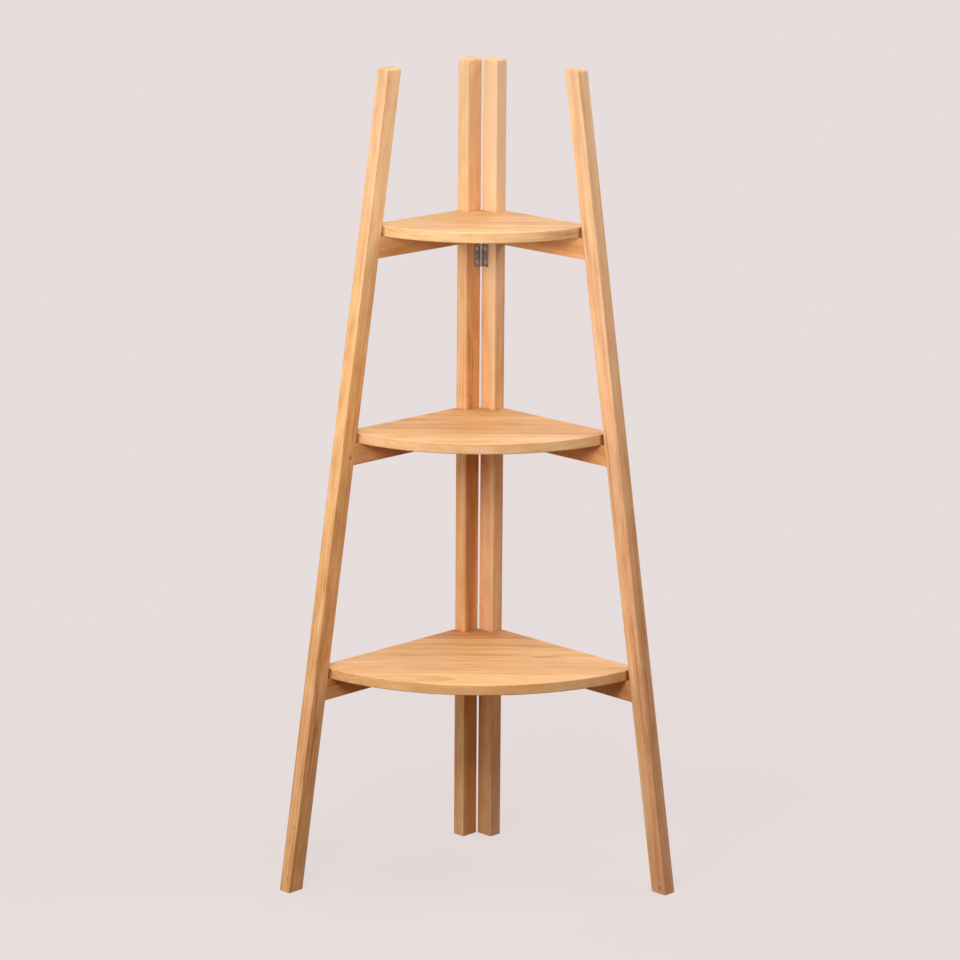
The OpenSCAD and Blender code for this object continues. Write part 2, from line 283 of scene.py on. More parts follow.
class NodeBench:
    """A node tree under construction, with short ways to add and join its nodes."""

    def __init__(self, tree: bpy.types.NodeTree) -> None:
        """Starts on a tree, which is cleared."""
        self.tree = tree
        tree.nodes.clear()

    def feed(self, node: bpy.types.Node, inputs: Inputs) -> None:
        """Joins a node's inputs to other sockets, or writes fixed values into them.

        Args:
            node: The node.
            inputs: What they get, by their names or numbers or in their order.
        """
        for key, value in inputs.items() if isinstance(inputs, dict) else enumerate(inputs):
            socket = node.inputs[key]
            if isinstance(value, Socket):
                self.tree.links.new(value, socket)
            else:
                socket.default_value = (*value, 1.0) if socket.type == "RGBA" else value

    def node(self, kind: str, inputs: Inputs = (), **options: object) -> bpy.types.Node:
        """Adds a node.

        Args:
            kind: The node's type, without the word that all shader nodes share.
            inputs: What its inputs get, as feed takes it.
            options: Its options by name.

        Returns:
            The node.
        """
        made = self.tree.nodes.new(f"ShaderNode{kind}")
        for option, value in options.items():
            setattr(made, option, value)
        self.feed(made, inputs)
        return made

    def sum(self, operation: str, *values: object) -> Socket:
        """Adds a Math node and returns its result's socket."""
        return self.node("Math", values, operation=operation).outputs[0]

    def vector(self, operation: str, *values: object) -> Socket:
        """Adds a Vector Math node and returns its result's socket."""
        made = self.node("VectorMath", values, operation=operation)
        return made.outputs["Value" if operation == "LENGTH" else "Vector"]

    def vary(self, base: object, noise: object, depth: float) -> Socket:
        """Moves a number up and down with noise round the noise's middle, by a depth in all."""
        return self.sum("MULTIPLY_ADD", self.sum("SUBTRACT", noise, 0.5), depth, base)

    def span(
        self, value: object, low: float, high: float, out_low: float = 0.0, out_high: float = 1.0
    ) -> Socket:
        """Maps the numbers from low to high softly onto those from out_low to out_high."""
        row = (value, low, high, out_low, out_high)
        return self.node("MapRange", row, interpolation_type="SMOOTHSTEP").outputs[0]

    def noise(self, place: object, clouds: Clouds, output: str = "Fac") -> Socket:
        """Adds cloudy noise from 0 to 1.

        Args:
            place: The place's socket.
            clouds: How the noise looks.
            output: Fac for one number, Color for three.

        Returns:
            The noise's socket.
        """
        cells = self.vector("MULTIPLY", place, clouds.cells)
        inputs = {"Vector": cells, "Scale": 1.0, "Detail": clouds.detail, "Roughness": clouds.rough}
        return self.node("TexNoise", inputs, noise_dimensions="3D").outputs[output]

    def patches(self, place: object, clouds: Clouds, most: float = 1.0, least: float = 0.0) -> Socket:
        """Adds the patches of cloudy noise, with most inside them and least between them."""
        return self.span(self.noise(place, clouds), clouds.low, clouds.high, least, most)

    def turned(self, kind: str, place: object, turn: Matrix, **more: object) -> Socket:
        """Turns a place, where the kind is POINT, or a direction, where it is VECTOR."""
        inputs = {"Vector": place, "Rotation": turn.to_euler("XYZ"), **more}
        return self.node("Mapping", inputs, vector_type=kind).outputs["Vector"]

    def ramp(self, value: object, stops: list[tuple[float, Colour]]) -> Socket:
        """Colours a number by a row of stops.

        Args:
            value: The number's socket.
            stops: Places from 0 to 1 with their colours.

        Returns:
            The colour's socket.
        """
        made = self.node("ValToRGB", (value,))
        row = made.color_ramp.elements
        while len(row) < len(stops):
            row.new(1.0)
        for stop, (place, colour) in zip(row, stops):
            stop.position = place
            stop.color = (*colour, 1.0)
        return made.outputs["Color"]

    def blend(self, share: object, under: object, over: object, mode: str = "MIX") -> Socket:
        """Lays a share of one colour over another, by a Mix node's colour sockets: 6 and 7, with result 2."""
        inputs = {0: share, 6: under, 7: over}
        return self.node("Mix", inputs, data_type="RGBA", blend_type=mode).outputs[2]

    def plain(self, kind: str, colour: Colour, **inputs: float) -> Socket:
        """Adds a shader of one plain colour and returns its socket."""
        return self.node(kind, {"Color": colour, **inputs}).outputs[0]

    def either(self, share: object, first: Socket, second: Socket) -> Socket:
        """Mixes two shaders, the second one by its share, and returns the result's socket."""
        return self.node("MixShader", (share, first, second)).outputs[0]

    def seen(self) -> Socket:
        """Tells what is seen straight, or in metal or glass, from what is lit.

        Returns:
            A socket that is 1 for what is seen.
        """
        path = self.node("LightPath").outputs
        total = path["Is Camera Ray"]
        for ray in ("Is Glossy Ray", "Is Transmission Ray"):
            total = self.sum("MAXIMUM", total, path[ray])
        return total

    def end(self, kind: str, shader: Socket) -> None:
        """Leads a shader to the tree's output of a kind."""
        self.node(kind, {"Surface": shader})


class FinishBench(NodeBench):
    """The material of a finish under construction, round one shader."""

    def __init__(self, name: str) -> None:
        """Starts an empty material with one shader.

        Args:
            name: The material's name.
        """
        self.material = bpy.data.materials.new(name)
        self.material.use_nodes = True
        super().__init__(self.material.node_tree)
        self.shader = self.node("BsdfPrincipled")
        self.end("OutputMaterial", self.shader.outputs["BSDF"])
        self.coordinates = self.node("TexCoord").outputs

    def bump(self, height: object, depth: float) -> None:
        """Raises the surface by a height from 0 to 1, whose full step is the depth."""
        made = self.node("Bump", {"Strength": 1.0, "Distance": depth, "Height": height})
        self.feed(self.shader, {"Normal": made.outputs["Normal"]})


@dataclass(frozen=True)
class WoodTone:
    """The colours of one piece of hardwood, from its darkest streaks to its palest wood."""

    streak: Colour
    heart: Colour
    body: Colour
    pale: Colour

    def stops(self) -> list[tuple[float, Colour]]:
        """Returns the colours with their places on a row from 0 to 1."""
        return list(zip(TONE_STOPS, (self.streak, self.heart, self.body, self.pale)))


# Places of the four colours on their row, from the darkest to the palest.
TONE_STOPS = (0.0, 0.32, 0.64, 1.0)

HONEY = WoodTone(paint(180, 114, 60), paint(213, 153, 93), paint(234, 181, 124), paint(245, 203, 152))
AMBER = WoodTone(paint(170, 104, 52), paint(204, 140, 81), paint(226, 168, 109), paint(238, 188, 134))
ROSE = WoodTone(paint(182, 114, 66), paint(216, 156, 104), paint(232, 183, 134), paint(242, 204, 157))
GOLDEN = WoodTone(paint(178, 113, 59), paint(209, 150, 91), paint(231, 179, 120), paint(243, 199, 146))
BUTTER = WoodTone(paint(184, 122, 66), paint(212, 159, 100), paint(228, 184, 128), paint(238, 204, 156))
CREAM = WoodTone(paint(188, 128, 74), paint(218, 166, 110), paint(236, 192, 140), paint(246, 212, 168))

# Colour of the painted highlight that pales the upper ends of posts and legs.
PAINTED_HIGHLIGHT_PALE = paint(235, 205, 167)
# Tint of the knots, specks and streaks, and of the painted shade on the left post.
MARK_STAIN_AND_SHADE = (0.50, 0.27, 0.12)
YELLOW_CAST = (1.0, 1.0, 0.92)
ROSY_CAST = (1.0, 0.96, 0.98)

# Distance between two rings of the wave pattern at scale 1.
WAVE_PITCH = math.pi / 10


@dataclass(frozen=True)
class OilSkin:
    """How the oiled surface of the wood shines and wears, and how its grain stands out.

    Attributes:
        ior: How strongly the oil bends light.
        fibre_gloss: How far the roughness moves with the fibres.
        end_gloss: How much rougher the end grain is.
        arris_gloss: How much smoother the arrises are.
        relief: Height of the fibres.
        pore_depth: Depth of the pores, as a share of the relief.
        ring_rise: Height of the late wood, as a share of the relief.
        highlight_levels: Heights between which the painted highlight on the upper ends of posts and legs
            grows.
        worn: Most and least of the palest wood that the arrises show.
        arris: How squarely a face looks where an arris is fully worn, and where it ends.
        end_pale: How much of the palest wood the end grain shows.
        end_soft: How softly the end grain starts, by how squarely a face looks.
        fade: How fast red, green and blue fade in soaked-up oil and in the painted shade of the end grain.
    """

    ior: float = 1.45
    fibre_gloss: float = 0.16
    end_gloss: float = 0.18
    arris_gloss: float = 0.06
    relief: float = 0.00004
    pore_depth: float = 0.6
    ring_rise: float = 0.25
    highlight_levels: tuple[float, float] = (0.80, 1.15)
    worn: tuple[float, float] = (0.42, 0.08)
    arris: tuple[float, float] = (0.72, 0.985)
    end_pale: float = 0.45
    end_soft: float = 0.05
    fade: Triple = (1.0, 1.45, 1.9)

    def tint(self, share: float) -> Colour:
        """Returns the tint that keeps a share of the light: of soaked-up oil, and on the shelf tips also of
        painted shade.
        """
        return tuple(share**speed for speed in self.fade)


SKIN = OilSkin()


@dataclass(frozen=True)
class OiledWood:
    """Oiled hardwood: growth rings and fibres that run through the piece, so that its ends show end grain.

    Attributes:
        tone: Its colours.
        middle: Where on its row of colours most of the wood lies, from 0 to 1.
        ring_pitch: Distance between two growth rings.
        ring_depth: How dark the late wood of a ring is.
        ring_edge: How steeply a ring darkens towards its late wood.
        streak_depth: How strong the broad streaks are.
        mottle: How strong the soft blotches are.
        vein: How dark the thin dark lines are.
        mineral: How much dark mineral streak the piece has.
        fleck: How strong the pale flecks are.
        painted_top_highlight: How much painted highlight, a paler colour, lies on the upper ends of posts and
            legs, from 0 to 1.
        end_from: How squarely a face must look along the grain to show end grain, from 0 to 1.
        end_light: Light that the end grain keeps, below 1 where it soaked up more oil and, on the shelves,
            where painted shade darkens the tips' end faces in their slots beside the legs.
        mark_core: Part of a mark's size that is as dark as its middle.
        gloss: Roughness of the oiled surface.
    """

    tone: WoodTone
    middle: float = 0.66
    ring_pitch: float = 0.0065
    ring_depth: float = 0.30
    ring_edge: float = 2.5
    streak_depth: float = 0.55
    mottle: float = 0.36
    vein: float = 0.20
    mineral: float = 0.20
    fleck: float = 0.10
    painted_top_highlight: float = 0.0
    end_from: float = 0.75
    end_light: float = 1.0
    mark_core: float = 0.35
    gloss: float = 0.54

    def make(self, name: str, line: GrainLine, cut: int, marks: tuple[GrainOrShadeMark, ...] = ()) -> Material:
        """Makes the material of one piece.

        Args:
            name: The material's name.
            line: How the grain runs.
            cut: Number of the plank that the piece is cut from.
            marks: Its knots, specks and streaks, and its patches of painted shade.

        Returns:
            The material.
        """
        bench = WoodBench(name, self, line, cut)
        late_wood = bench.late_wood()
        fibre = bench.noise(bench.own, FIBRE)
        pore = bench.patches(bench.own, PORE)
        end_grain, arris = bench.facing()

        colour = bench.growth_marks(bench.grain_colour(late_wood, fibre), pore)
        # Painted highlight: posts and legs turn paler towards their upper ends, standing in for the brighter
        # light there.
        if self.painted_top_highlight:
            height = bench.node("SeparateXYZ", (bench.centred,)).outputs["X"]
            colour = bench.blend(bench.span(height, *SKIN.highlight_levels, 0.0, self.painted_top_highlight), colour, PAINTED_HIGHLIGHT_PALE)
        # Lays the marks: knots, specks and streaks, and on the left post a patch of painted shade.
        for mark in marks:
            stained_or_shaded = bench.blend(1.0, colour, MARK_STAIN_AND_SHADE, "MULTIPLY")
            colour = bench.blend(bench.mark(mark), colour, stained_or_shaded)
        # End grain: paler wood, darkened by soaked-up oil and, on the shelves, by painted shade.
        cut_end = bench.blend(SKIN.end_pale, colour, self.tone.pale)
        cut_end = bench.blend(1.0, cut_end, SKIN.tint(self.end_light), "MULTIPLY")
        colour = bench.blend(end_grain, colour, cut_end)
        wear = bench.patches(bench.own, WEAR, *SKIN.worn)
        colour = bench.blend(bench.sum("MULTIPLY", arris, wear), colour, self.tone.pale)

        gloss = bench.vary(self.gloss, fibre, SKIN.fibre_gloss)
        gloss = bench.sum("MULTIPLY_ADD", end_grain, SKIN.end_gloss, gloss)
        gloss = bench.sum("MULTIPLY_ADD", arris, -SKIN.arris_gloss, gloss)
        bench.feed(bench.shader, {"Base Color": colour, "Roughness": gloss, "IOR": SKIN.ior})
        height = bench.sum("MULTIPLY_ADD", pore, -SKIN.pore_depth, fibre)
        bench.bump(bench.sum("MULTIPLY_ADD", late_wood, SKIN.ring_rise, height), SKIN.relief)
        return bench.material


class WoodBench(FinishBench):
    """The oiled wood of one piece under construction.

    Attributes:
        centred: Place along the grain, measured from the piece's middle line.
        own: The same place in the piece's own plank.
        grown: The same again, swayed as the tree grew.
        heart: The same place, measured from the middle of the tree.
    """

    def __init__(self, name: str, wood: OiledWood, line: GrainLine, cut: int) -> None:
        """Starts the material and turns the piece's place in the room into places in its own plank.

        Args:
            name: The material's name.
            wood: The wood.
            line: How the grain runs.
            cut: Number of the plank that the piece is cut from.
        """
        super().__init__(name)
        self.wood = wood
        self.line = line
        middle = line.turn @ line.centre
        self.centred = self.turned("POINT", self.coordinates["Object"], line.turn, Location=-middle)
        self.own = self.vector("ADD", self.centred, STACK.place(cut))
        evened = self.vector("SUBTRACT", self.noise(self.own, SWAY, "Color"), (0.5, 0.5, 0.5))
        drift = self.vector("MULTIPLY", evened, (0.0, SWAY.depth, SWAY.depth))
        self.heart = self.vector("ADD", self.vector("ADD", self.centred, drift), STACK.pith(cut))
        self.grown = self.vector("ADD", self.own, drift)

    def late_wood(self) -> Socket:
        """Adds the dark late wood of the growth rings, stronger in some places.

        Returns:
            How much late wood there is, from 0 to 1.
        """
        inputs = {"Vector": self.heart, "Scale": WAVE_PITCH / self.wood.ring_pitch, "Distortion": 0.0}
        rings = self.node("TexWave", inputs, wave_type="RINGS", rings_direction="X", wave_profile="SAW")
        edge = self.sum("POWER", rings.outputs["Fac"], self.wood.ring_edge)
        return self.sum("MULTIPLY", edge, self.patches(self.own, RING_PATCH))

    def grain_colour(self, late_wood: Socket, fibre: Socket) -> Socket:
        """Colours the wood by its streaks, blotches, fibres and rings.

        Args:
            late_wood: How much late wood there is.
            fibre: The fibres.

        Returns:
            The colour's socket.
        """
        wood = self.wood
        strengths = {BROAD_STREAK: wood.streak_depth, NARROW_STREAK: wood.streak_depth, BLOTCH: wood.mottle}
        tone = wood.middle
        for clouds, strength in strengths.items():
            tone = self.vary(tone, self.noise(self.grown, clouds), clouds.depth * strength)
        tone = self.vary(tone, fibre, FIBRE.depth)
        tone = self.sum("SUBTRACT", tone, self.sum("MULTIPLY", late_wood, wood.ring_depth))
        cast = self.blend(self.patches(self.grown, CAST), YELLOW_CAST, ROSY_CAST)
        return self.blend(1.0, self.ramp(tone, wood.tone.stops()), cast, "MULTIPLY")

    def growth_marks(self, colour: Socket, pore: Socket) -> Socket:
        """Lays the thin veins, the mineral streaks, the pores and the pale flecks over the wood.

        Args:
            colour: The wood's colour.
            pore: The pores.

        Returns:
            The colour's socket.
        """
        tone = self.wood.tone
        colour = self.blend(self.patches(self.grown, VEIN, self.wood.vein), colour, tone.streak)
        colour = self.blend(self.patches(self.grown, MINERAL, self.wood.mineral), colour, tone.streak)
        colour = self.blend(self.sum("MULTIPLY", pore, PORE.depth), colour, tone.streak)
        return self.blend(self.patches(self.own, FLECK, self.wood.fleck), colour, tone.pale)

    def facing(self) -> tuple[Socket, Socket]:
        """Tells the end grain and the rounded arrises from the rest by the way the surface faces.

        Returns:
            Sockets that are 1 on end grain and 1 on the arrises.
        """
        squared = self.turned("VECTOR", self.coordinates["Normal"], self.line.turn)
        facing = self.node("SeparateXYZ", (self.vector("ABSOLUTE", squared),)).outputs
        end_from = self.wood.end_from
        end_grain = self.span(facing["X"], end_from, end_from + SKIN.end_soft)
        flat = self.sum("MAXIMUM", facing["Y"], facing["Z"])
        flat = self.sum("MAXIMUM", flat, facing["X"])
        return end_grain, self.span(flat, *SKIN.arris, 1.0, 0.0)

    def mark(self, mark: GrainOrShadeMark) -> Socket:
        """Lays a soft oval round a mark.

        Args:
            mark: The mark.

        Returns:
            How strong the mark is at the place, from 0 to 1.
        """
        away = self.vector("SUBTRACT", self.centred, self.line.local(mark.place))
        sizes = (2.0 / mark.length, 2.0 / (mark.depth or mark.width), 2.0 / mark.width)
        distance = self.vector("LENGTH", self.vector("MULTIPLY", away, sizes))
        return self.span(distance, self.wood.mark_core, 1.0, mark.strength, 0.0)


@dataclass(frozen=True)
class WornZinc:
    """Zinc plate that has dulled: cloudy tarnish with brighter rubbed patches.

    Attributes:
        tarnish: Colour of the dulled plate.
        bright: Colour where it is rubbed.
        gloss: Roughness of the plate.
        rubbed: How much of it is rubbed bright, from 0 to 1.
        metal: How bare the metal is under its dull skin, from 0 to 1.
        rub_reach: How much of the tarnish rubbing can take off.
        rub_gloss: How much smoother the rubbed places are.
        grit_shade: Light that the grit keeps.
        grit_rise: Height of the grit, as a share of the relief.
        relief: Height of the tarnish.
    """

    tarnish: Colour
    bright: Colour
    gloss: float = 0.38
    rubbed: float = 0.4
    metal: float = 0.85
    rub_reach: float = 0.3
    rub_gloss: float = 0.10
    grit_shade: float = 0.55
    grit_rise: float = 0.5
    relief: float = 0.00003

    def make(self, name: str) -> Material:
        """Makes the material.

        Args:
            name: The material's name.

        Returns:
            The material.
        """
        bench = FinishBench(name)
        cloud, grit = (bench.noise(bench.coordinates["Object"], clouds) for clouds in (TARNISH, GRIT))
        taken = self.rub_reach * self.rubbed
        worn = bench.span(cloud, TARNISH.low - taken, TARNISH.high - taken)
        colour = bench.blend(worn, self.tarnish, self.bright)
        shade = tuple(level * self.grit_shade for level in self.tarnish)
        colour = bench.blend(bench.sum("MULTIPLY", grit, GRIT.depth), colour, shade)
        gloss = bench.vary(self.gloss, cloud, TARNISH.depth)
        gloss = bench.sum("MULTIPLY_ADD", worn, -self.rub_gloss, gloss)
        bench.feed(bench.shader, {"Base Color": colour, "Metallic": self.metal, "Roughness": gloss})
        bench.bump(bench.sum("MULTIPLY_ADD", grit, self.grit_rise, cloud), self.relief)
        return bench.material


def dress(node: str, material: Material) -> None:
    """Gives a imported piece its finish."""
    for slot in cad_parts[node].material_slots:
        slot.material = material


@dataclass
class SideFrame:
    """One ladder frame: a post at the corner, a leaning front leg, three rails and their hidden dowels.

    Attributes:
        side: The side on which it stands.
        post_wood: Finish of the post.
        leg_wood: Finish of the leg.
        rail_wood: Finishes of the rails, from the top down.
        leg_marks: Knots, specks and streaks of the leg.
        post_marks: Patches of painted shade on the post.
        first_cut: Number of the plank that its first piece is cut from.
        dowel_wood: Finish of the dowels.
        rail_start: Distance from the corner at which the grain of rails and dowels is measured.
        dowel_level: Height at which the grain of the dowels is measured.
    """

    side: Side
    post_wood: OiledWood
    leg_wood: OiledWood
    rail_wood: tuple[OiledWood, OiledWood, OiledWood]
    leg_marks: tuple[GrainOrShadeMark, ...]
    post_marks: tuple[GrainOrShadeMark, ...]
    first_cut: int
    dowel_wood: OiledWood = OiledWood(AMBER, ring_depth=0.1, gloss=0.6)
    rail_start: float = 0.1
    dowel_level: float = 0.6

    def line(self, along: Vector, reach: float, level: float = 0.0) -> GrainLine:
        """Returns the grain of a piece by its direction, and by the reach and level of its middle."""
        return GrainLine(along, self.side.face, PLAN.place(self.side, reach, -PLAN.stock / 2, level))

    def finish(self) -> None:
        """Dresses the post, the leaning leg, the rails and the dowels, each with the grain along it."""
        word = self.side.word
        along = self.side.along
        leaning = UPWARDS * math.cos(PLAN.lean) - along * math.sin(PLAN.lean)
        post_line = self.line(UPWARDS, PLAN.post_gap + PLAN.post_width / 2)
        leg_line = self.line(leaning, (PLAN.leg_outer(0.0) + PLAN.leg_inner(0.0)) / 2)
        pieces = [
            ("post", "post", self.post_wood, post_line, self.post_marks),
            ("leg", "leg", self.leg_wood, leg_line, self.leg_marks),
        ]
        for tier, wood in zip(Tier, self.rail_wood):
            rail = f"{tier.word}_rail"
            pieces.append((rail, rail, wood, self.line(along, self.rail_start, tier.rail_level), ()))
        dowel_line = self.line(along, self.rail_start, self.dowel_level)
        pieces.append(("dowels", "dowel", self.dowel_wood, dowel_line, ()))
        for step, (node, piece, wood, line, marks) in enumerate(pieces):
            dress(f"{word}_{node}", wood.make(f"{word}_{piece}_wood", line, self.first_cut + step, marks))


@dataclass
class TierShelf:
    """One shelf: edge-glued boards with the grain across, a bowed front and notches round the posts.

    Attributes:
        tier: Which shelf it is.
        woods: Finishes of its boards, from the corner to the front.
        first_cut: Number of the plank before the one that its first board is cut from.
        marks: Streaks and specks of the boards, by the board's number.
        thickness: Thickness of the boards.
        tip_gap: Slot between a tip and its leg.
        tip_lip: How far a tip stands in past the inner face of its frame.
        notch_gap: Clearance of the notches round the posts.
        bow_share: Bow of the front, as a share of half the distance between the tips.
        rim_steps: Number of straight steps in the round of the blank's whole rim.
        front_round: Radius of the eased front edges.
        front_steps: Number of flat strips in their round.
        arris: Width of the eased back edges.
        arris_steps: Number of flat strips in their round.
        joint_ease: Width of the fine easing along the glued joints.
        sharp: Least angle of an edge that is eased or stays sharp, in degrees.
        weld: Distance under which the points of an eased corner become one.
    """

    tier: Tier
    woods: tuple[OiledWood, ...]
    first_cut: int
    marks: dict[int, tuple[GrainOrShadeMark, ...]] = field(default_factory=dict)
    thickness: float = 0.017
    tip_gap: float = 0.003
    tip_lip: float = 0.001
    notch_gap: float = 0.001
    bow_share: float = 0.36
    rim_steps: int = 360
    front_round: float = 0.002
    front_steps: int = 6
    arris: float = 0.001
    arris_steps: int = 2
    joint_ease: float = 0.00015
    sharp: float = 40.0
    weld: float = 0.000002

    @property
    def top(self) -> float:
        """Returns the height of its upper face."""
        return self.tier.shelf_level

    @property
    def tip(self) -> float:
        """Returns how far the tips reach along the frames."""
        return PLAN.leg_inner(self.top) - self.tip_gap

    @property
    def half_chord(self) -> float:
        """Returns half the distance between the tips."""
        return DIAGONAL * (self.tip - self.tip_lip)

    @property
    def bow(self) -> float:
        """Returns how far the front bows out past its tips."""
        return self.bow_share * self.half_chord

    @property
    def depth(self) -> float:
        """Returns the distance from the corner to the middle of the front."""
        return DIAGONAL * (self.tip + self.tip_lip) + self.bow

    @property
    def front_radius(self) -> float:
        """Returns the radius of the bowed front."""
        return (self.half_chord**2 + self.bow**2) / (2 * self.bow)

    def build(self) -> list[Piece]:
        """Makes the whole blank, saws it into its boards and finishes each one.

        Returns:
            The boards, from the corner to the front.
        """
        blank = self._turn_blank()
        self._trim_sides(blank)
        self._notch(blank)
        boards = [self._make_board(blank, number) for number in range(1, len(self.woods) + 1)]
        bpy.data.objects.remove(blank)
        return boards

    def _make_board(self, blank: Piece, number: int) -> Piece:
        """Saws one board out of a copy of the blank, eases it and gives it its finish.

        Args:
            blank: The finished blank.
            number: The board's number, from 1 at the corner.

        Returns:
            The board.
        """
        board = blank.copy()
        board.data = blank.data.copy()
        board.name = f"{self.tier.word}_board_{number}_dressed"
        board.data.name = board.name
        bpy.context.collection.objects.link(board)
        width = self.depth / len(self.woods)
        near = PLAN.corner_y - (number - 1) * width
        joints = []
        if number > 1:
            saw(board, BACKWARDS * near, BACKWARDS)
            joints.append(near)
        if number < len(self.woods):
            saw(board, BACKWARDS * (near - width), -BACKWARDS)
            joints.append(near - width)
        self._ease(board, joints)
        line = GrainLine(SIDEWAYS, UPWARDS, Vector((0.0, near - width / 2, self.top)))
        marks = self.marks.get(number, ())
        wood = self.woods[number - 1].make(f"{board.name}_wood", line, self.first_cut + number, marks)
        board.data.materials.clear()
        board.data.materials.append(wood)
        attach(board, f"{self.tier.word}_shelf")
        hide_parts(f"{self.tier.word}_shelf_board_{number}")
        return board

    def _turn_blank(self) -> Piece:
        """Turns the round blank and eases its rim.

        Returns:
            The blank.
        """
        bpy.ops.object.select_all(action="DESELECT")
        bpy.ops.mesh.primitive_cylinder_add(
            vertices=self.rim_steps,
            radius=self.front_radius,
            depth=self.thickness,
            location=(0.0, PLAN.corner_y - self.depth + self.front_radius, self.top - self.thickness / 2),
        )
        blank = bpy.context.object
        settle(blank)
        with edit_mode(blank):
            self._select_sharp()
            bpy.ops.mesh.bevel(
                offset=self.front_round, segments=self.front_steps, profile=0.5, affect="EDGES"
            )
        return blank

    def _select_sharp(self) -> None:
        """Selects the sharp edges of the piece that is open in edit mode."""
        bpy.ops.mesh.select_all(action="DESELECT")
        bpy.ops.mesh.edges_select_sharp(sharpness=math.radians(self.sharp))

    def _trim_sides(self, blank: Piece) -> None:
        """Saws the blank off behind the frames and at its tips.

        Args:
            blank: The round blank.
        """
        for side in Side:
            saw(blank, PLAN.place(side, 0.0, -PLAN.stock, 0.0), -side.face)
            saw(blank, PLAN.place(side, self.tip, 0.0, 0.0), side.along)

    def _notch(self, blank: Piece) -> None:
        """Cuts the notches round both posts.

        Args:
            blank: The trimmed blank.
        """
        reach = PLAN.post_gap + PLAN.post_width + self.notch_gap
        room = PLAN.stock * 2
        level = self.top - self.thickness / 2
        for side in Side:
            bpy.ops.object.select_all(action="DESELECT")
            bpy.ops.mesh.primitive_cube_add(
                size=1.0,
                location=PLAN.place(side, (reach - room) / 2, (self.notch_gap - room) / 2, level),
                rotation=(0.0, 0.0, side.value * -math.pi / 4),
            )
            cutter = bpy.context.object
            cutter.scale = (reach + room, self.notch_gap + room, self.thickness * 2)
            settle(cutter)
            apply_modifier(blank, "BOOLEAN", operation="DIFFERENCE", solver="EXACT", object=cutter)
            bpy.data.objects.remove(cutter)

    def _ease(self, board: Piece, joints: list[float]) -> None:
        """Eases the arrises of a board, finely along its glued joints.

        Args:
            board: The sawn board.
            joints: Places of its joints along Y.
        """
        with edit_mode(board):
            self._select_sharp()
        mesh = board.data
        weights = mesh.attributes.new("bevel_weight_edge", "FLOAT", "EDGE")
        for edge in mesh.edges:
            if edge.select:
                ends = [mesh.vertices[end].co.y for end in edge.vertices]
                on_joint = any(all(abs(end - joint) < self.joint_ease for end in ends) for joint in joints)
                weights.data[edge.index].value = self.joint_ease / self.arris if on_joint else 1.0
        apply_modifier(
            board,
            "BEVEL",
            limit_method="WEIGHT",
            width=self.arris,
            segments=self.arris_steps,
            use_clamp_overlap=True,
        )
        with edit_mode(board):
            bpy.ops.mesh.remove_doubles(threshold=self.weld)
        bpy.ops.object.shade_smooth_by_angle(angle=math.radians(self.sharp))
        apply_modifier(board, "WEIGHTED_NORMAL", keep_sharp=True, weight=100)


def pick(piece: Piece) -> None:
    """Selects one piece alone and makes it the active one.

    Args:
        piece: The piece.
    """
    bpy.ops.object.select_all(action="DESELECT")
    piece.select_set(True)
    bpy.context.view_layer.objects.active = piece


@contextmanager
def edit_mode(piece: Piece) -> Iterator[None]:
    """Opens a piece in edit mode with all of it selected, and closes it afterwards.

    Args:
        piece: The piece.

    Returns:
        A context in which the piece is open.
    """
    pick(piece)
    bpy.ops.object.mode_set(mode="EDIT")
    bpy.ops.mesh.select_mode(type="EDGE")
    bpy.ops.mesh.select_all(action="SELECT")
    yield
    bpy.ops.object.mode_set(mode="OBJECT")


def apply_modifier(piece: Piece, kind: str, **options: object) -> None:
    """Adds a modifier to a piece, sets its options and applies it.

    Args:
        piece: The piece.
        kind: The modifier's type.
        options: Its options by name.
    """
    pick(piece)
    bpy.ops.object.modifier_add(type=kind)
    modifier = piece.modifiers[-1]
    for option, value in options.items():
        setattr(modifier, option, value)
    bpy.ops.object.modifier_apply(modifier=modifier.name)


def settle(piece: Piece) -> None:
    """Moves a piece's place, turn and size into its mesh."""
    pick(piece)
    bpy.ops.object.transform_apply(location=True, rotation=True, scale=True)


def saw(piece: Piece, point: Vector, outwards: Vector) -> None:
    """Saws a piece along a plane through a point, drops the part that lies outwards and closes the cut."""
    with edit_mode(piece):
        bpy.ops.mesh.bisect(plane_co=point, plane_no=outwards, use_fill=True, clear_outer=True)


@dataclass
class ButtHinge:
    """One butt hinge: two leaves with interleaved knuckles, a riveted pin and four countersunk screws.

    Attributes:
        tier: The tier under whose shelf it sits.
        plate: Finish of the leaves.
        pin: Finish of the pin.
        screw: Finish of the screws.
    """

    tier: Tier
    plate: WornZinc = WornZinc(paint(160, 151, 143), paint(208, 202, 196), gloss=0.32, rubbed=0.55)
    pin: WornZinc = WornZinc(paint(232, 227, 220), paint(252, 250, 246), gloss=0.24, rubbed=0.8, metal=0.7)
    screw: WornZinc = WornZinc(paint(224, 218, 210), paint(252, 249, 244), gloss=0.27, rubbed=0.7, metal=0.7)

    def finish(self) -> None:
        """Dresses the leaves, the pin and the screws."""
        level = self.tier.word
        for side in Side:
            leaf = self.plate.make(f"{level}_{side.word}_leaf_zinc")
            dress(f"{level}_hinge_{side.word}_leaf", leaf)
            screw = self.screw.make(f"{level}_{side.word}_screw_zinc")
            dress(f"{level}_hinge_{side.word}_screws", screw)
        dress(f"{level}_hinge_pin", self.pin.make(f"{level}_pin_zinc"))


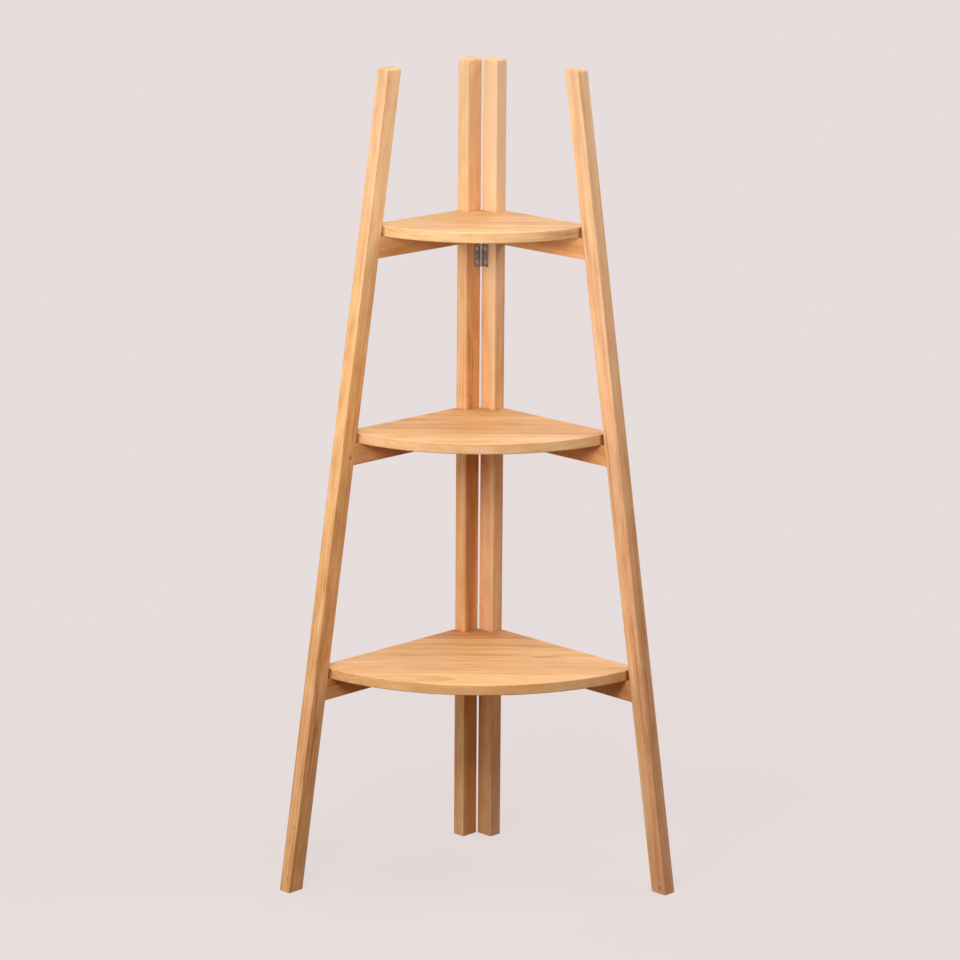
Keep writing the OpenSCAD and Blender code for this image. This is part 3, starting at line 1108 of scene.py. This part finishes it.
@dataclass(frozen=True)
class Softbox:
    """A square lamp behind white cloth.

    Attributes:
        name: Its name.
        place: Where it hangs.
        width: Its width.
        height: Its height.
        power: Its power in watts.
        aim: The point that it looks at.
    """

    name: str
    place: Triple
    width: float
    height: float
    power: float
    aim: Triple = (0.0, 0.0, 0.7)

    def hang(self) -> None:
        """Hangs the lamp, unseen by the camera."""
        lamp = bpy.data.lights.new(self.name, "AREA")
        lamp.shape = "RECTANGLE"
        lamp.size = self.width
        lamp.size_y = self.height
        lamp.energy = self.power
        holder = bpy.data.objects.new(self.name, lamp)
        holder.location = self.place
        holder.rotation_euler = (Vector(self.aim) - Vector(self.place)).to_track_quat("-Z", "Y").to_euler()
        holder.visible_camera = False
        bpy.context.scene.collection.objects.link(holder)


@dataclass
class Studio:
    """A pale floor without an edge, soft lamps and a faint, warm room light.

    Attributes:
        lamps: The soft lamps.
        backdrop: Colour that the camera sees behind the shelf.
        room: Colour of the room's own light.
        room_level: Strength of the room's own light.
        floor_colour: Colour of the floor as it lights the shelf from below.
        floor_size: Width of the floor.
        shadow_share: How much of the floor's shade shows near the shelf.
        shadow_near: Distance from the shelf's middle at which the shade starts to fade.
        shadow_far: Distance at which it has faded.
    """

    lamps: tuple[Softbox, ...]
    backdrop: Colour = paint(230, 221, 220)
    room: Colour = (1.0, 0.52, 0.24)
    room_level: float = 0.10
    floor_colour: Colour = (0.20, 0.10, 0.04)
    floor_size: float = 60.0
    shadow_share: float = 0.15
    shadow_near: float = 0.35
    shadow_far: float = 1.5

    def build(self) -> None:
        """Lays the floor, lights the room and hangs the lamps."""
        self._lay_floor()
        self._light_room()
        for lamp in self.lamps:
            lamp.hang()

    def _lay_floor(self) -> None:
        """Lays the floor, whose colour runs evenly into the backdrop."""
        bpy.ops.object.select_all(action="DESELECT")
        bpy.ops.mesh.primitive_plane_add(size=self.floor_size, location=(0.0, 0.0, 0.0))
        floor = bpy.context.object
        floor.name = "studio_floor"
        floor.data.materials.append(self._floor_paint())

    def _floor_paint(self) -> Material:
        """Mixes the floor's paint: the backdrop's even colour, with the shelf's faint shadow near its feet.

        Returns:
            The material.
        """
        material = bpy.data.materials.new("floor_paint")
        material.use_nodes = True
        bench = NodeBench(material.node_tree)
        lit = bench.plain("BsdfDiffuse", self.floor_colour)
        shaded = bench.plain("BsdfDiffuse", self.backdrop)
        even = bench.plain("Emission", self.backdrop)
        away = bench.vector("LENGTH", bench.node("TexCoord").outputs["Object"])
        share = bench.span(away, self.shadow_near, self.shadow_far, self.shadow_share, 0.0)
        shown = bench.either(share, even, shaded)
        bench.end("OutputMaterial", bench.either(bench.seen(), lit, shown))
        return material

    def _light_room(self) -> None:
        """Gives the room its own even light and shows the backdrop's colour past the floor."""
        world = bpy.data.worlds.new("studio_room")
        world.use_nodes = True
        bench = NodeBench(world.node_tree)
        lit = bench.plain("Background", self.room, Strength=self.room_level)
        shown = bench.plain("Background", self.backdrop)
        bench.end("OutputWorld", bench.either(bench.seen(), lit, shown))
        bpy.context.scene.world = world


@dataclass(frozen=True)
class PhotoCamera:
    """The camera of the photograph.

    Attributes:
        place: Where it stands.
        yaw: Its turn to the right, in degrees.
        pitch: Its tilt, in degrees, upwards positive.
        roll: Its lean, in degrees.
        lens: Focal length, in millimetres.
        film: Width of the film, in millimetres.
        reach: Distance to which it sees.
    """

    place: Triple = (-0.02483, -5.53488, 1.99580)
    yaw: float = 0.259
    pitch: float = -13.955
    roll: float = 0.432
    lens: float = 139.72
    film: float = 36.0
    reach: float = 200.0

    def set_up(self) -> None:
        """Sets the camera up and makes it the scene's own."""
        yaw, pitch, roll = (math.radians(angle) for angle in (self.yaw, self.pitch, self.roll))
        ahead = Vector((math.sin(yaw) * math.cos(pitch), math.cos(yaw) * math.cos(pitch), math.sin(pitch)))
        right = Vector((math.cos(yaw), -math.sin(yaw), 0.0))
        upwards = right.cross(ahead)
        leaned_right = math.cos(roll) * right + math.sin(roll) * upwards
        leaned_up = math.cos(roll) * upwards - math.sin(roll) * right
        turn = Matrix((leaned_right, leaned_up, -ahead)).transposed().to_4x4()
        camera = bpy.data.cameras.new("photo_camera")
        camera.lens = self.lens
        camera.sensor_width = self.film
        camera.clip_end = self.reach
        holder = bpy.data.objects.new("photo_camera", camera)
        holder.matrix_world = Matrix.Translation(self.place) @ turn
        bpy.context.scene.collection.objects.link(holder)
        bpy.context.scene.camera = holder


# One lamp hangs close in front, two on the left, one on the right, two behind and one overhead.
SOFTBOXES = (
    Softbox("near_front_softbox", (-0.371, -1.141, 1.3), 0.5, 0.5, 12.2),
    Softbox("front_left_softbox", (-1.98, -1.98, 1.5), 1.3, 1.3, 13.4),
    Softbox("left_softbox", (-2.4, -0.8, 1.1), 1.4, 1.8, 12.2),
    Softbox("right_softbox", (1.84, 0.0, 2.54), 1.2, 1.2, 22.0),
    Softbox("back_right_softbox", (0.92, 1.9, 1.9), 1.4, 1.4, 11.0),
    Softbox("back_left_softbox", (-1.5, 1.5, 1.5), 1.4, 1.4, 12.0),
    Softbox("ceiling_panel", (0.0, -0.3, 3.4), 2.6, 2.6, 38.0),
)

# Marks of the frames: reach, depth and level of the middle, then length, width and strength.
# The left leg has specks at its foot, a small knot, fine dark lines and one soft streak.
LEFT_LEG_MARKS = (
    (0.3913, -0.0064, 0.1005, 0.0055, 0.0035, 0.95),
    (0.3935, -0.0040, 0.0871, 0.0045, 0.0032, 0.90),
    (0.4043, -0.0075, 0.0225, 0.0050, 0.0034, 0.90),
    (0.2778, 0.0, 0.6658, 0.0095, 0.0060, 0.90),
    (0.3505, 0.0, 0.2900, 0.1000, 0.0030, 0.85),
    (0.3560, 0.0, 0.2350, 0.1300, 0.0022, 0.80),
    (0.3490, 0.0, 0.2450, 0.0900, 0.0018, 0.60),
    (0.3620, 0.0, 0.2050, 0.1400, 0.0060, 0.35),
)
# The right leg has a knot near its foot and long streaks.
RIGHT_LEG_MARKS = (
    (0.3960, 0.0, 0.0096, 0.0080, 0.0055, 0.90),
    (0.2218, 0.0, 0.9980, 0.0900, 0.0045, 0.55),
    (0.2785, 0.0, 0.6498, 0.2600, 0.0035, 0.45),
    (0.3484, 0.0, 0.3009, 0.3400, 0.0050, 0.50),
    (0.3580, -0.0090, 0.3004, 0.3600, 0.0050, 0.45),
    (0.3325, -0.0150, 0.4536, 0.3000, 0.0040, 0.40),
    (0.3800, -0.0040, 0.1683, 0.2000, 0.0035, 0.40),
)
# The left post has one broad patch of painted shade between the lower shelves, where the middle shelf shades
# its inner face.
LEFT_POST_PAINTED_SHADE = ((0.0190, 0.0, 0.455, 0.42, 0.034, 0.66),)
# Marks of the shelves: place of the middle, then length, width, strength and depth.
TOP_FRONT_MARKS = (
    (0.104, -0.0290, 1.0090, 0.085, 0.080, 0.32, 0.0034),
    (0.126, -0.0160, 1.0050, 0.070, 0.080, 0.38, 0.0050),
    (0.095, -0.0330, 1.0010, 0.080, 0.080, 0.28, 0.0032),
    (0.124, -0.0170, 1.0040, 0.100, 0.080, 0.38, 0.0240),
    (-0.095, -0.0330, 1.0040, 0.060, 0.070, 0.30, 0.0024),
)
BOTTOM_MIDDLE_MARKS = (
    (0.103, -0.0115, 0.342, 0.070, 0.0120, 0.55),
    (0.020, -0.0020, 0.342, 0.170, 0.0130, 0.30),
    (-0.110, -0.0080, 0.342, 0.110, 0.0090, 0.30),
)


def set_marks(rows: tuple[tuple[float, ...], ...], side: Side | None = None) -> tuple[GrainOrShadeMark, ...]:
    """Sets out marks on the frame of a side, or on a shelf where no side is given."""
    places = (PLAN.place(side, *row[:3]) if side else Vector(row[:3]) for row in rows)
    return tuple(GrainOrShadeMark(place, *row[3:]) for place, row in zip(places, rows))


def side_frames() -> list[SideFrame]:
    """Sets out the two frames with their finishes and marks.

    Returns:
        The left frame and the right one.
    """
    rails = (OiledWood(AMBER), OiledWood(AMBER, middle=0.58), OiledWood(AMBER, middle=0.52))
    # Posts and legs carry a painted highlight that pales their upper ends.
    left = SideFrame(
        side=Side.LEFT,
        post_wood=OiledWood(HONEY, fleck=0.35, painted_top_highlight=0.38),
        leg_wood=OiledWood(HONEY, middle=0.56, mineral=0.15, mottle=0.50, painted_top_highlight=0.35),
        rail_wood=rails,
        leg_marks=set_marks(LEFT_LEG_MARKS, Side.LEFT),
        post_marks=set_marks(LEFT_POST_PAINTED_SHADE, Side.LEFT),
        first_cut=1,
    )
    right = SideFrame(
        side=Side.RIGHT,
        post_wood=OiledWood(ROSE, fleck=0.40, painted_top_highlight=0.65),
        leg_wood=OiledWood(ROSE, streak_depth=0.75, mineral=0.40, painted_top_highlight=0.25),
        rail_wood=rails,
        leg_marks=set_marks(RIGHT_LEG_MARKS, Side.RIGHT),
        post_marks=(),
        first_cut=11,
    )
    return [left, right]


def shelves() -> list[TierShelf]:
    """Sets out the three shelves, each with its boards' finishes and marks.

    Returns:
        The shelves, from the top down.
    """
    # The boards' end grain, down to the 45-degree tip faces, is darkened partly as oil soaked into it and
    # partly as painted shade on the tips' end faces in the dark slots beside the legs.
    board = OiledWood(
        BUTTER, middle=0.60, streak_depth=0.42, mottle=0.26, mineral=0.10, end_from=0.655, end_light=0.42
    )
    dim = replace(board, middle=0.52)
    cream = replace(board, tone=CREAM, middle=0.62)
    dim_cream = replace(cream, middle=0.56)
    golden = replace(board, tone=GOLDEN, middle=0.66)
    dim_golden = replace(golden, middle=0.52)
    calm = replace(golden, middle=0.59)
    pale = replace(golden, middle=0.76)
    dark_back = replace(board, tone=AMBER, middle=0.30, streak_depth=0.55, mineral=0.6)
    top_marks = {3: set_marks(TOP_FRONT_MARKS)}
    bottom_marks = {3: set_marks(BOTTOM_MIDDLE_MARKS)}
    return [
        TierShelf(Tier.TOP, (dim, board, cream), 20, top_marks),
        TierShelf(Tier.MIDDLE, (dim_golden, calm, calm, dim_cream), 37),
        TierShelf(Tier.BOTTOM, (dark_back, calm, golden, pale, pale), 29, bottom_marks),
    ]


def main() -> None:
    """Builds the shelf's looks in order and reports each piece."""
    logging.basicConfig(level=logging.INFO, format="%(name)s: %(message)s")
    bpy.context.scene.view_settings.view_transform = "Standard"
    PhotoCamera().set_up()
    log.info("camera set up")
    for side_frame in side_frames():
        side_frame.finish()
        log.info("%s frame dressed", side_frame.side.word)
    for shelf in shelves():
        boards = shelf.build()
        log.info("%s shelf built from %d boards", shelf.tier.word, len(boards))
    for hinge in (ButtHinge(Tier.TOP), ButtHinge(Tier.BOTTOM)):
        hinge.finish()
        log.info("%s hinge dressed", hinge.tier.word)
    Studio(SOFTBOXES).build()
    log.info("studio lit")


if __name__ == "__main__":
    main()
